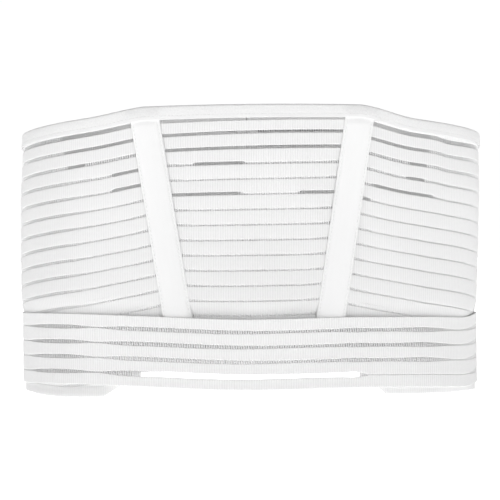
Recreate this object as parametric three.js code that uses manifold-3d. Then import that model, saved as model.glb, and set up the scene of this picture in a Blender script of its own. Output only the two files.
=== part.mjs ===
// Maternity belt: a closed loop of slotted elastic that stands on its lower edge.
// Millimetres, +Z up, origin on the floor under the middle of the loop.
// The back panel faces -Y, the front closure faces +Y, and the wearer's left is -X.
//
// A place on the belt is given by three numbers:
//   arc  - length along the loop from the middle of the back, positive towards +X
//   z    - height above the floor
//   out  - distance outwards from the middle of the wall's thickness
import * as THREE from "three";
import { mergeVertices } from "three/addons/utils/BufferGeometryUtils.js";
import Module from "manifold-3d";

const wasm = await Module();
wasm.setup();

// Plan of the loop: a four-arc oval, measured to the middle of the wall
const LOOP_WIDTH = 340;
const LOOP_DEPTH = 190;
const FLANK_RADIUS = 80;
// Where the wall is divided: arc lengths from the back's middle and from the front's, and steps round a flank
const BACK_STOPS = [0, 20, 40, 60];
const SHOULDER_STOP = 97;
const FRONT_STOP = 57;
const FLANK_STEPS = 11;

// Ladder elastic: rows of tape with open slots between them
const WALL = 1.4;
const ROW_PITCH = 11.1;
const SLOT_HEIGHT = 2.7;
const BACK_SLOTS = 17;
const WING_SLOTS = 19;
const FIRST_SLOT_BACK = 10;
const FIRST_SLOT_WING = 11.4;
const SIDE_BORDER = 8;
const SEWN_GAP = 0.3;

// Top edge: highest between the stays, falling evenly to its lowest place a little ahead of the flank's
// middle, rising from there to the closure as it fell, and level over it
const TOP_AT_STAY = 214.8;
const LOW_ARC = 232;
const LOW_TURN = 18;
const TOP_BOW = 1;
const BACK_HEIGHT = 196.4;
const WING_FAN = 0.038;
const FAN_LENGTH = 70;
const DROP_LENGTH = 25;
const DROP_DEPTH = 115;

// The two wings differ a little, as the belt sits:
//   slope            - fall of the rows for each unit of length towards the flank
//   drop             - how much lower the wing's top is sewn than the back panel's
//   archEnd, foot    - arc lengths where the arch under the back starts to come down and meets the floor
//   lift             - how far the lower edge is lifted off the floor at the flank
const WINGS = {
  left: { slope: 0.108, drop: 0.8, archEnd: 85, foot: 115, lift: 3.5 },
  right: { slope: 0.122, drop: 4.6, archEnd: 78, foot: 99, lift: 1.5 },
};

// Lower edge: an arch under the back, a lower one under the closure that rises from the ends of the
// flanks, and a doubled border that stands on the floor between them
const ARCH_HEIGHT = TOP_AT_STAY - BACK_HEIGHT;
const FRONT_ARCH_HEIGHT = 16;
const FOOT_LENGTH = 25;
const BORDER_HEIGHT = 8;
const BORDER_WALL = 2;
// What is trimmed away below the lower edge
const TRIM_DEPTH = 100;
const TRIM_REACH = 4;

// Stays: two padded casings over the seams, standing in a V
const STAY_TOP_ARC = 81.3;
const STAY_LEAN = 0.155;
const CASING_WIDTH = 22;
const CASING_EDGE = 1;
const CASING_CROWN = 2.2;
const CASING_COLUMNS = 6;
const CASING_ROWS = 16;

// Binding along the top edge
const HEM_HEIGHT = 8.7;
const HEM_WALL = 0.8;
const FRONT_GAP = 0.8;

// Lower band: five rows of the same elastic round the outside
const BAND_ROWS = 5;
const BAND_TAPE = 8.1;
const BAND_SLOT = 2.95;
const BAND_WALL = 1.4;
const BAND_JOINT = 27.5;
// Height of the band's lower edge: left flank, back, right flank and front
const BAND_EDGE = { left: 10.8, back: 4.6, right: 3.4, front: 20 };
const BAND_CLEARANCE = { flank: 0.6, back: 5.3 };
const BAND_BRIDGE = 130;

// Front closure: a plain patch over the two wing ends
const PATCH_HALF_WIDTH = 90;
const PATCH_WALL = 1.6;
const PATCH_BOTTOM = FRONT_ARCH_HEIGHT + BORDER_HEIGHT + 2;
const PATCH_ROWS = 12;

// The wall is drawn in a little behind the band
const DRAW_IN = 1.5;
const DRAW_IN_FULL_BELOW = 40;
const DRAW_IN_NONE_ABOVE = 80;

// Points closer than this are one point
const MERGE = 1e-4;

// Plan worked out from the driving sizes
const halfWidth = LOOP_WIDTH / 2;
const halfDepth = LOOP_DEPTH / 2;
const flankCentre = halfWidth - FLANK_RADIUS;
const backRadius =
  (halfWidth ** 2 + halfDepth ** 2 - LOOP_WIDTH * FLANK_RADIUS) / (LOOP_DEPTH - 2 * FLANK_RADIUS);
const backCentre = backRadius - halfDepth;
const turnAtFlank = Math.atan2(flankCentre, backCentre);
const backArc = backRadius * turnAtFlank;
const flankArc = FLANK_RADIUS * (Math.PI - 2 * turnAtFlank);
const halfLoop = 2 * backArc + flankArc;
const patchStart = halfLoop - PATCH_HALF_WIDTH;

const face = WALL / 2;
const patchFace = face + SEWN_GAP + PATCH_WALL;

// Centre, radius and heading of the arc of the oval that holds a place on the right-hand half.
function arcOfPlan(arc) {
  if (arc <= backArc) {
    return { x: 0, y: backCentre, radius: backRadius, turn: arc / backRadius };
  }
  if (arc <= backArc + flankArc) {
    const turn = turnAtFlank + (arc - backArc) / FLANK_RADIUS;
    return { x: flankCentre, y: 0, radius: FLANK_RADIUS, turn };
  }
  return { x: 0, y: -backCentre, radius: backRadius, turn: Math.PI - (halfLoop - arc) / backRadius };
}

// How far the wall is drawn in at a height.
function drawnIn(z) {
  return DRAW_IN * (1 - THREE.MathUtils.smoothstep(z, DRAW_IN_FULL_BELOW, DRAW_IN_NONE_ABOVE));
}

// The point of the belt at an arc length, height and distance outwards.
function onBelt(arc, z, out) {
  const wrapped = THREE.MathUtils.euclideanModulo(arc + halfLoop, 2 * halfLoop) - halfLoop;
  const side = wrapped < 0 ? -1 : 1;
  const plan = arcOfPlan(Math.abs(wrapped));
  const reach = plan.radius + out - drawnIn(z);
  const x = side * (plan.x + reach * Math.sin(plan.turn));
  return new THREE.Vector3(x, plan.y - reach * Math.cos(plan.turn), z);
}

// Arc lengths on one half where the plan is divided, from the middle of the back to the middle of the front.
function halfStations() {
  const back = [...BACK_STOPS, STAY_TOP_ARC, STAY_TOP_ARC + SIDE_BORDER, SHOULDER_STOP];
  const flank = [];
  for (let step = 0; step <= FLANK_STEPS; step++) {
    flank.push(backArc + (flankArc * step) / FLANK_STEPS);
  }
  const front = [PATCH_HALF_WIDTH, FRONT_STOP, BAND_JOINT].map((short) => halfLoop - short);
  return [...back, ...flank, ...front];
}

const stations = halfStations();
const wingStations = stations.filter((arc) => arc > STAY_TOP_ARC + SIDE_BORDER);

// Arc length of the seam under a stay, at a distance below the top edge.
function seam(below) {
  return STAY_TOP_ARC - STAY_LEAN * below;
}

// Height of a row of the back panel: nearly level, bowed up a little near the top.
function backRow(arc, below) {
  const bow = TOP_BOW * (1 - (arc / STAY_TOP_ARC) ** 2) * (1 - below / BACK_HEIGHT);
  return TOP_AT_STAY - below + bow;
}

// Length from where the rows are lowest, with a round turn at nought.
function fromLow(arc) {
  return Math.hypot(arc - LOW_ARC, LOW_TURN) - LOW_TURN;
}

// Height of a row of a wing: it falls from the seam to the flank, and the rows fan out a little. It rises
// again to the closure as it fell, and is level behind it.
function wingRow(arc, below, { slope, drop }) {
  const ahead = (Math.min(arc, patchStart) - LOW_ARC) / (patchStart - LOW_ARC);
  const away = arc < LOW_ARC ? arc : LOW_ARC - ahead * (LOW_ARC - PATCH_HALF_WIDTH);
  const along = away - seam(below);
  const fan = 1 + WING_FAN * THREE.MathUtils.clamp(along / FAN_LENGTH, 0, 1);
  const step = drop * THREE.MathUtils.smoothstep(along, 0, DROP_LENGTH) * Math.max(0, 1 - below / DROP_DEPTH);
  const fall = slope * (fromLow(seam(below)) - fromLow(away));
  return TOP_AT_STAY - step - fall - below * fan;
}

// Height of the top edge at any place on the loop.
function topEdge(arc) {
  const away = Math.abs(arc);
  return away < STAY_TOP_ARC ? backRow(away, 0) : wingRow(away, 0, arc < 0 ? WINGS.left : WINGS.right);
}

// Height of the lower edge of a wing: the arch behind with its slanting end, a slight lift at the flank,
// then the slanting end of the arch in front.
function lowerEdge(arc, { archEnd, foot, lift }) {
  const frontFoot = backArc + flankArc;
  const frontSlant = patchStart - frontFoot;
  if (arc < foot) return ARCH_HEIGHT * Math.min(1, (foot - arc) / (foot - archEnd));
  if (arc > frontFoot) return FRONT_ARCH_HEIGHT * Math.min(1, (arc - frontFoot) / frontSlant);
  const start = foot + FOOT_LENGTH;
  const share = THREE.MathUtils.clamp((arc - start) / (frontFoot - FOOT_LENGTH - start), 0, 1);
  return lift * Math.sin(Math.PI * share) ** 2;
}

// Distances below the top edge of the lines between rows, from the top down.
function rowLines(firstSlot, slots) {
  const lines = [HEM_WALL + SEWN_GAP];
  for (let slot = 0; slot < slots; slot++) {
    const middle = firstSlot + slot * ROW_PITCH;
    lines.push(middle - SLOT_HEIGHT / 2, middle + SLOT_HEIGHT / 2);
  }
  lines.push(firstSlot + slots * ROW_PITCH - SLOT_HEIGHT / 2);
  return lines;
}

// A closed wall on a grid of columns and rows, cut through where a cell isn't filled.
// place(column, row, side) gives a grid point on the inner (0) or outer (1) face.
function sheet({ columns, rows, filled, place, closed = false }) {
  const across = closed ? columns : columns + 1;
  const id = (c, r, side) => ((c % across) * (rows + 1) + r) * 2 + side;
  const points = [];
  for (let c = 0; c < across; c++) {
    for (let r = 0; r <= rows; r++) {
      points.push(place(c, r, 0), place(c, r, 1));
    }
  }
  const inside = (c, r) => {
    if (r < 0 || r >= rows) return false;
    if (closed) return filled((c + columns) % columns, r);
    return c >= 0 && c < columns && filled(c, r);
  };
  const index = [];
  const quad = (a, b, c, d) => index.push(a, b, c, a, c, d);
  for (let c = 0; c < columns; c++) {
    for (let r = 0; r < rows; r++) {
      if (!inside(c, r)) continue;
      quad(id(c, r, 1), id(c + 1, r, 1), id(c + 1, r + 1, 1), id(c, r + 1, 1));
      quad(id(c, r, 0), id(c, r + 1, 0), id(c + 1, r + 1, 0), id(c + 1, r, 0));
      if (!inside(c, r - 1)) quad(id(c, r, 1), id(c, r, 0), id(c + 1, r, 0), id(c + 1, r, 1));
      if (!inside(c, r + 1)) quad(id(c, r + 1, 1), id(c + 1, r + 1, 1), id(c + 1, r + 1, 0), id(c, r + 1, 0));
      if (!inside(c - 1, r)) quad(id(c, r, 1), id(c, r + 1, 1), id(c, r + 1, 0), id(c, r, 0));
      if (!inside(c + 1, r)) quad(id(c + 1, r, 1), id(c + 1, r, 0), id(c + 1, r + 1, 0), id(c + 1, r + 1, 1));
    }
  }
  return new THREE.BufferGeometry().setFromPoints(points).setIndex(index);
}

// A closed bar: one row of wall between two heights that vary along the loop.
function bar({ arcs, low, high, inner, outer }) {
  const place = (c, r, side) => onBelt(arcs[c], r === 0 ? low(arcs[c]) : high(arcs[c]), side ? outer : inner);
  return sheet({ columns: arcs.length - 1, rows: 1, filled: () => true, place });
}

// Joining and cutting
function solid(geometry) {
  const loose = geometry.toNonIndexed();
  const bare = new THREE.BufferGeometry().setAttribute("position", loose.attributes.position);
  const merged = mergeVertices(bare, MERGE);
  const vertProperties = merged.attributes.position.array;
  const triVerts = new Uint32Array(merged.index.array);
  return new wasm.Manifold(new wasm.Mesh({ numProp: 3, vertProperties, triVerts }));
}

function geometryOf(manifold) {
  const mesh = manifold.getMesh();
  const geometry = new THREE.BufferGeometry();
  geometry.setAttribute("position", new THREE.BufferAttribute(new Float32Array(mesh.vertProperties), 3));
  geometry.setIndex(new THREE.BufferAttribute(new Uint32Array(mesh.triVerts), 1));
  return geometry;
}

// A ladder sheet's cells: every tape row, and every row of the two end columns.
function ladder(columns, rows) {
  return (c, r) => r % 2 === 0 || c === 0 || c === columns - 1;
}

function backPanel() {
  const lines = rowLines(FIRST_SLOT_BACK, BACK_SLOTS).reverse();
  const rows = lines.length - 1;
  const inner = stations.filter((arc) => arc < STAY_TOP_ARC);
  const shares = [...inner.slice(1).reverse().map((arc) => -arc), ...inner].map((arc) => arc / STAY_TOP_ARC);
  const columns = shares.length + 3; // two border lines at each end
  const place = (c, r, side) => {
    const edge = seam(lines[r]) - SEWN_GAP / 2;
    const between = shares.map((share) => share * edge);
    const arc = [-edge, SIDE_BORDER - edge, ...between, edge - SIDE_BORDER, edge][c];
    return onBelt(arc, backRow(arc, lines[r]), side ? face : -face);
  };
  return sheet({ columns, rows, filled: ladder(columns, rows), place });
}

// A wing, built on the right-hand half and mirrored for the left.
function wing(spec) {
  const lines = rowLines(FIRST_SLOT_WING, WING_SLOTS).reverse();
  const rows = lines.length - 1;
  const end = halfLoop - FRONT_GAP / 2;
  const run = [...wingStations, end - SIDE_BORDER, end];
  const columns = run.length + 1;
  const place = (c, r, side) => {
    const start = seam(lines[r]) + SEWN_GAP / 2;
    const arc = c < 2 ? start + c * SIDE_BORDER : run[c - 2];
    return onBelt(arc, wingRow(arc, lines[r], spec), side ? face : -face);
  };
  const elastic = solid(sheet({ columns, rows, filled: ladder(columns, rows), place }));

  const edge = (arc) => lowerEdge(arc, spec);
  const start = seam(BACK_HEIGHT - BORDER_HEIGHT) + SEWN_GAP / 2;
  const arcs = [start, spec.archEnd, spec.foot, ...wingStations, end].sort((a, b) => a - b);
  const border = solid(
    bar({
      arcs,
      low: (arc) => edge(arc) - BORDER_HEIGHT,
      high: (arc) => edge(arc) + BORDER_HEIGHT,
      inner: -BORDER_WALL / 2,
      outer: BORDER_WALL / 2,
    }),
  );
  const below = solid(
    bar({
      arcs: [start - SIDE_BORDER, ...arcs.slice(1, -1), halfLoop],
      low: (arc) => edge(arc) - TRIM_DEPTH,
      high: edge,
      inner: -TRIM_REACH,
      outer: TRIM_REACH,
    }),
  );
  return geometryOf(elastic.add(border).subtract(below));
}

// The same shape on the other side of the middle plane, with its faces turned back out.
function mirrored(geometry) {
  const copy = geometry.clone().scale(-1, 1, 1);
  const order = copy.index.array;
  for (let i = 0; i < order.length; i += 3) {
    [order[i + 1], order[i + 2]] = [order[i + 2], order[i + 1]];
  }
  return copy;
}

// The binding: an upside-down U in section, carried along the top edge.
function topHem() {
  const inside = face + SEWN_GAP;
  const outside = inside + HEM_WALL;
  const section = [
    { out: outside, down: HEM_HEIGHT },
    { out: outside, down: 0 },
    { out: -outside, down: 0 },
    { out: -outside, down: HEM_HEIGHT },
    { out: -inside, down: HEM_HEIGHT },
    { out: -inside, down: HEM_WALL },
    { out: inside, down: HEM_WALL },
    { out: inside, down: HEM_HEIGHT },
  ];
  const half = [...stations.slice(1), halfLoop - FRONT_GAP / 2];
  const arcs = [...half.map((arc) => -arc).reverse(), 0, ...half];
  const count = section.length;
  const points = arcs.flatMap((arc) => section.map((p) => onBelt(arc, topEdge(arc) - p.down, p.out)));
  const index = [];
  for (let a = 0; a + 1 < arcs.length; a++) {
    for (let p = 0; p < count; p++) {
      const here = a * count + p;
      const next = a * count + ((p + 1) % count);
      index.push(here, here + count, next + count, here, next + count, next);
    }
  }
  const outline = section.map((p) => new THREE.Vector2(p.out, p.down));
  const lastRing = (arcs.length - 1) * count;
  for (const [a, b, c] of THREE.ShapeUtils.triangulateShape(outline, [])) {
    index.push(a, c, b, lastRing + a, lastRing + b, lastRing + c);
  }
  return new THREE.BufferGeometry().setFromPoints(points).setIndex(index);
}

// A padded casing over a seam, crowned across its width. side is -1 for left and 1 for right.
function stayCasing(side) {
  const top = HEM_HEIGHT + SEWN_GAP;
  const place = (c, r, outer) => {
    const across = (2 * c) / CASING_COLUMNS - 1;
    const below = THREE.MathUtils.lerp(BACK_HEIGHT, top, r / CASING_ROWS);
    const arc = side * seam(below) + (across * CASING_WIDTH) / 2;
    const thickness = CASING_EDGE + (CASING_CROWN - CASING_EDGE) * (1 - across ** 2);
    const z = topEdge(arc) - below;
    return onBelt(arc, z, face + SEWN_GAP + (outer ? thickness : 0));
  };
  return sheet({ columns: CASING_COLUMNS, rows: CASING_ROWS, filled: () => true, place });
}

// A value at the back, the flanks and the front, joined by smooth steps round the loop.
function roundLoop(values, arc) {
  const away = Math.abs(arc) / (halfLoop / 2);
  const flank = arc < 0 ? values.left : values.right;
  if (away < 1) return THREE.MathUtils.lerp(values.back, flank, THREE.MathUtils.smoothstep(away, 0, 1));
  return THREE.MathUtils.lerp(flank, values.front, THREE.MathUtils.smoothstep(away, 1, 2));
}

// How far the band's inner face stands off the wall: it bridges the back and passes over the closure.
function bandStandOff(arc) {
  const away = Math.abs(arc);
  const bridge = away < BAND_BRIDGE ? 0.5 + 0.5 * Math.cos((Math.PI * away) / BAND_BRIDGE) : 0;
  const flank = face + BAND_CLEARANCE.flank;
  const front = patchFace + BAND_CLEARANCE.flank;
  const overPatch = THREE.MathUtils.smoothstep(away, backArc + flankArc / 2, patchStart);
  const spare = BAND_CLEARANCE.back - BAND_CLEARANCE.flank;
  return THREE.MathUtils.lerp(flank, front, overPatch) + bridge * spare;
}

function lowerBand() {
  const half = stations.slice(1);
  const arcs = [...half.map((arc) => -arc).reverse(), 0, ...half, halfLoop];
  const lines = [0];
  for (let row = 0; row < BAND_ROWS; row++) {
    const bottom = row * (BAND_TAPE + BAND_SLOT);
    if (row > 0) lines.push(bottom);
    lines.push(bottom + BAND_TAPE);
  }
  const columns = arcs.length;
  const joint = (c) => c === columns - 1 || c === columns - 2;
  const place = (c, r, side) => {
    const out = bandStandOff(arcs[c]) + (side ? BAND_WALL : 0);
    return onBelt(arcs[c], roundLoop(BAND_EDGE, arcs[c]) + lines[r], out);
  };
  const filled = (c, r) => r % 2 === 0 || joint(c);
  return sheet({ columns, rows: lines.length - 1, filled, place, closed: true });
}

function frontClosure() {
  const half = [SIDE_BORDER + FRONT_GAP / 2, BAND_JOINT, FRONT_STOP, PATCH_HALF_WIDTH];
  const arcs = [...half.map((arc) => -arc).reverse(), 0, ...half].map((arc) => halfLoop + arc);
  const place = (c, r, side) => {
    const wrapped = arcs[c] > halfLoop ? arcs[c] - 2 * halfLoop : arcs[c];
    const top = topEdge(wrapped) - HEM_HEIGHT - SEWN_GAP;
    const z = THREE.MathUtils.lerp(PATCH_BOTTOM, top, r / PATCH_ROWS);
    return onBelt(arcs[c], z, side ? patchFace : face + SEWN_GAP);
  };
  return sheet({ columns: arcs.length - 1, rows: PATCH_ROWS, filled: () => true, place });
}

// The band stands further out behind than in front, so the loop sits forward by half of that.
const loopForward = (bandStandOff(0) - bandStandOff(halfLoop)) / 2;

// Finishes, each piece with its own material
const FINISH = {
  elastic: { color: 0xf1f1ef, roughness: 0.85, metalness: 0 },
  binding: { color: 0xf6f6f4, roughness: 0.7, metalness: 0 },
  casing: { color: 0xfafaf9, roughness: 0.55, metalness: 0 },
  closure: { color: 0xf0f0ee, roughness: 0.95, metalness: 0 },
};

function piece(name, geometry, finish) {
  const mesh = new THREE.Mesh(geometry, new THREE.MeshStandardMaterial(finish));
  mesh.name = name;
  return mesh;
}

const belt = new THREE.Group();
belt.name = "maternity_belt";
belt.position.y = loopForward;
belt.add(
  piece("back_panel", backPanel(), FINISH.elastic),
  piece("left_wing", mirrored(wing(WINGS.left)), FINISH.elastic),
  piece("right_wing", wing(WINGS.right), FINISH.elastic),
  piece("top_hem", topHem(), FINISH.binding),
  piece("left_stay_casing", stayCasing(-1), FINISH.casing),
  piece("right_stay_casing", stayCasing(1), FINISH.casing),
  piece("lower_band", lowerBand(), FINISH.elastic),
  piece("front_closure", frontClosure(), FINISH.closure),
);

export default belt;
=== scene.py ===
import math

import bpy
import numpy as np
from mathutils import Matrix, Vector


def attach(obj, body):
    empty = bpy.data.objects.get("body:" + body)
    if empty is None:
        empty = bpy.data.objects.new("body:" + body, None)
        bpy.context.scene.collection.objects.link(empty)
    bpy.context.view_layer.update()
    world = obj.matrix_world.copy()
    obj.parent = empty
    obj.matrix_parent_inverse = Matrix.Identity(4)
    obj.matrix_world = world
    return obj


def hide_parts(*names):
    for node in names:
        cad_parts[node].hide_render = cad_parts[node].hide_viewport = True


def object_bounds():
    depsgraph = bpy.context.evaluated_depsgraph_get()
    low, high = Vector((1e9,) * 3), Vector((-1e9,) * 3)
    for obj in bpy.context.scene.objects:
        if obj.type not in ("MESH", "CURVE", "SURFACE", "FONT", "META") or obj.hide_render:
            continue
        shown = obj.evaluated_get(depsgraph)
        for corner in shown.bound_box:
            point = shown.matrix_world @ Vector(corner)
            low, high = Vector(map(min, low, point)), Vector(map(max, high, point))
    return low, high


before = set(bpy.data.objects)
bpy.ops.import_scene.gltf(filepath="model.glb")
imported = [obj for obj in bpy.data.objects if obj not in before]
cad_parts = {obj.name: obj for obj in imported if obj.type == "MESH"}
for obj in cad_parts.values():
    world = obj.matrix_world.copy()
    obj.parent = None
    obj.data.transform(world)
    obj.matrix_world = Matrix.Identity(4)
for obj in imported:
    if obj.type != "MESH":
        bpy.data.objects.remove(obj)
cad_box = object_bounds()

# A closed maternity belt of white ladder elastic that stands on its lower edge.
# Sizes are in millimetres, and become metres where a mesh is made.
# A place on the belt is (arc, z, out): length along the loop from the middle of the back,
# height above the floor, and distance outwards from the middle of the wall.
METRE = 0.001

# Plan of the loop: a four-arc oval
LOOP_WIDTH = 340.0
LOOP_DEPTH = 190.0
FLANK_RADIUS = 80.0

# Ladder elastic: rows of tape with open slots between them, and weft yarns across the slots
WALL = 1.4
ROW_PITCH = 11.1
SLOT_HEIGHT = 2.7
BACK_SLOTS = 17
WING_SLOTS = 19
FIRST_SLOT_BACK = 10.0
FIRST_SLOT_WING = 11.4
FIRST_SLOT_MORE = 0.8
SIDE_BORDER = 8.0
SEWN_GAP = 0.3
TUCK = 2.0
LAP = 1.0
# Solid edges of the panels are a little thicker than their tapes
EDGE_FACE = WALL / 2 + 0.1
# Steps by which a wing's rows are followed to where they are cut off, and the fewest that make a tape
RUN_STEP = 0.5
LEAST_RUN = 4

# Top edge and the fall of the rows
TOP_AT_STAY = 214.8
LOW_ARC = 236.0
LOW_TURN = 16.0
GATHER = 0.01
# Tilt and upward bow of the back panel's rows, at distances below the top edge
BACK_BELOWS = (0.0, 12.0, 21.0, 35.0, 70.0, 110.0, 150.0, 196.4)
BACK_TILTS = (0.0, 0.013, 0.017, 0.016, 0.009, 0.004, 0.003, 0.0)
BACK_BOWS = (1.0, 1.2, 1.7, 1.3, 0.4, -0.8, -1.8, 0.0)
BACK_HEIGHT = 196.4
WING_FAN = 0.03
FAN_LENGTH = 70.0
DROP_LENGTH = 45.0
DROP_DEPTH = 115.0

# Sagged slots that gape for a stretch: row from the top, arc and half length. A gape is wide open over
# that share of its half length.
GAPE_FULL = 0.75
GAPES = {
    "back": [(3, -25.0, 21.0), (5, -37.0, 32.0), (5, 50.0, 18.0)],
    "left": [(2, 134.0, 8.5), (3, 93.0, 14.0), (4, 91.0, 17.0)],
    "right": [(2, 125.5, 7.5), (3, 123.5, 8.0), (4, 114.0, 28.0), (5, 82.0, 6.0)],
}

# The two wings, as the belt sits: side of the loop, fall of the rows, how much lower the top is
# sewn, where the arch under the back ends and meets the floor, and the lift of the lower edge;
# how deep the rows dip at the flank, and over what stretch the flank's pull comes in;
# half the width of the weft yarns that fill a slot, from where they fill the upper slots too,
# and the slots that gape
WINGS = {
    "left": {
        "side": -1,
        "slope": 0.125,
        "drop": 2.4,
        "arch_end": 85.0,
        "foot": 115.0,
        "lift": 4.5,
        "dip": 0.0,
        "pull": (115.0, 150.0),
        "full_weft": 0.66,
        "filled_from": 141.0,
        "gapes": GAPES["left"],
    },
    "right": {
        "side": 1,
        "slope": 0.126,
        "drop": 5.4,
        "arch_end": 78.0,
        "foot": 99.0,
        "lift": 1.5,
        "dip": 1.8,
        "pull": (185.0, 215.0),
        "full_weft": 0.7,
        "filled_from": 131.0,
        "gapes": GAPES["right"],
    },
}
# Where the pull of a flank fades towards the front
PULL_FADES = (222.0, 245.0)
# Where the rows dip at a flank, over what lengths they fall and rise, and how far down the dip is gone
DIP_ARC = 154.0
DIP_FALL = 15.0
DIP_RISE = 45.0
DIP_DEPTH = 85.0

# Lower edge: an arch under the back, a lower one under the closure in front, and a doubled border that
# stands on the floor between them
ARCH_HEIGHT = TOP_AT_STAY - BACK_HEIGHT
FRONT_ARCH_HEIGHT = 16.0
FOOT_LENGTH = 25.0
BORDER_HEIGHT = 8.0
BORDER_WALL = 2.0
BORDER_STEP = 1.5
BORDER_STITCH = 6.4
BORDER_STITCH_FACE = 0.9
# The border's outer half, in shares of its half thickness and in height above the lower edge
BORDER_SECTION = [(0.0, 0.0), (0.7, 0.25), (1.0, 1.0), (1.05, 3.0)]
BORDER_SECTION += [(1.0, 5.6), (0.86, BORDER_STITCH), (1.0, 7.2), (0.8, BORDER_HEIGHT)]
# A wing's tapes are cut off that far above its lower edge, and are at least that high there. Its weft
# yarns end further up the border.
CUT_ABOVE = 0.6
CUT_LEAST = 0.3
YARNS_ABOVE = 0.6 * BORDER_HEIGHT

# Stays: two padded casings over the seams, standing in a V
STAY_TOP_ARC = 81.3
STAY_LEAN = 0.155
CASING_WIDTH = 22.0
CASING_EDGE = 1.0
CASING_CROWN = 2.2
CASING_TUCK = 6.6
# Rings down a casing, and points across its face and its underside, in shares of its half width
CASING_RINGS = 190
CASING_ACROSS = np.concatenate([[-1, -0.985], np.linspace(-0.95, 0.95, 31), [0.985, 1]])
CASING_UNDER = np.linspace(0.97, -0.97, 5)
# How squarely its edges round off, and its least thickness there
CASING_EDGE_POWER = 24
CASING_LEAST = 0.12
# Its sewing: distance in from the edge and below the binding, how deep the thread lies, and the furrow's
# depth, its width as a share of the half width, and how much more of it there is at each stitch
CASING_STITCH = 1.7
CASING_STITCH_BELOW = 1.0
CASING_STITCH_SINK = 0.38
CASING_FURROW = 0.45
CASING_FURROW_WIDTH = 0.045
CASING_PUCKER = 0.25
# Slow unevenness of its padding: depth and length
CASING_UNEVEN = 0.06
CASING_UNEVEN_LENGTH = 17.0
# Its thickness where it is tucked under the binding, as a share, and the length over which it fills out
CASING_TUCKED = 0.62
CASING_FILLS_OUT = 6.0
# Heights between which a stay bends in with the wall behind the band
STAY_BEND = (20.0, 110.0)

# Sagging tapes: the upper slots stand open, and further down each tape sags over the slot below it.
# The rows over which that comes in, what is left of a slot in the top rows and in a sagged one, and how
# far inwards a sagged edge curls.
SAG_ROWS = {"back": (1.8, 3.5), "wing": (0.3, 5.0)}
OPEN_SLOT = 0.8
SAGGED_SLOT = 0.22
SAG_CURL = 0.7
# Sagged slots open again round a flank and beside a stay: shares, and where that fades beside the seam
FLANK_OPENING = 0.65
STAY_OPENING = 0.4
STAY_OPENING_REACH = (13.0, 27.0)

# Binding along the top edge
HEM_HEIGHT = 8.7
HEM_REACH = {"left": 10.4, "back": 10.0, "right": 9.6}
HEM_WALL = 0.8
HEM_STITCH = 6.4
HEM_STITCH_FACE = 1.7
HEM_STATIONS = 640
FRONT_GAP = 0.8
# Its pucker at the sewing, depth and width, and its swell over a stay: how far out, how far below the top
# edge that is full, and how far beside the casing it ends
HEM_PUCKER = 0.07
HEM_PUCKER_WIDTH = 1.2
HEM_OVER_STAY = 0.9
HEM_SWELL_FULL = 0.7 * HEM_HEIGHT
HEM_SWELL_END = 4.0
# The binding's outer half, from its rolled lower edge up: distance out and distance below the top edge
HEM_SECTION = [(1.0, 8.6), (1.65, 8.7), (1.8, 8.64), (1.84, 8.54), (1.84, 8.3), (1.82, 7.2)]
HEM_SECTION += [(1.72, HEM_STITCH), (1.76, 5.7), (1.8, 4.2), (1.8, 1.4)]
HEM_SECTION += [(1.65, 0.6), (1.2, 0.15), (0.6, 0.0)]

# Lower band: five rows of elastic round the outside
BAND_ROWS = 5
BAND_TAPE = 8.1
BAND_SLOT = 2.95
BAND_WALL = 1.4
BAND_JOINT = 27.5
BAND_EDGE = {"left": 10.8, "back": 4.6, "right": 3.4, "front": 20.0}
BAND_CLEARANCE = {"flank": 0.6, "back": 5.3}
BAND_BRIDGE = 130.0
# Where the band's slots open or close a little: arc, half length, share of the slot
BAND_PULLS = [
    (-195.0, 22.0, -0.85),
    (-119.0, 14.0, -0.80),
    (35.0, 50.0, -0.40),
    (100.0, 18.0, -0.15),
    (75.0, 9.0, 0.25),
    (128.0, 12.0, 0.25),
    (165.0, 24.0, -0.75),
]
OPEN_UNDER_ARCH = 0.4
LEAST_SLOT = 0.08
LOWEST_CLOSES = (72.0, 88.0)
LOWEST_OPENS = (170.0, 200.0)
# The band rides up at the right flank, between these arc lengths
RIDE_UP = 4.0
RIDE_UP_ARCS = (165.0, 215.0)
# It stands higher at the stays than in the middle of the back, and that ends between these arc lengths
BAND_SAG = 1.2
BAND_SAG_ENDS = (120.0, 200.0)
# The doubled joint in front: extra thickness, grid, rounded rim and distance of its sewing from the rim
JOINT_THICKER = 0.4
JOINT_STATIONS = 60
JOINT_ROWS = 40
JOINT_RIM = 1.2
JOINT_STITCH = 3.0

# Front closure: a plain patch over the two wing ends
PATCH_HALF_WIDTH = 90.0
PATCH_WALL = 1.6
PATCH_CLEAR = 2.0
PATCH_BOTTOM = FRONT_ARCH_HEIGHT + BORDER_HEIGHT + PATCH_CLEAR
PATCH_STATIONS = 111
PATCH_ROWS = 150
PATCH_RIM = 1.6
PATCH_STITCH = 3.2
# Thickness of a patch at its very rim, as a share, and points along the rows of stitches at its ends
RIM_SHARE = 0.25
FRAME_POINTS = 60

# The wall is drawn in behind the band, bulges a little above it, and hangs in shallow waves
DRAW_IN = 1.5
BULGE = 0.25
BULGE_LENGTH = {"slack": 14.0, "tight": 4.0}
PINCH = 0.6
PINCH_LENGTH = 7.0
# The back stands out above the band: how far, its heights, and how far along it fades
FULLNESS = 2.5
FULL_FROM = (38.0, 58.0)
FULL_TO = (62.0, 130.0)
FULL_ARC = 62.0
# How far each flank stands out or in, at heights from the band's top edge to the binding, and the share
# of a flank over which that comes in
FLANK_EASE = 0.4
FLANK_HEIGHTS = (57.0, 80.0, 150.0, 205.0)
FLANK_OUT = {"left": (1.2, 2.5, 2.0, -1.1), "right": (-1.7, -0.7, 1.7, 1.4)}
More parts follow.
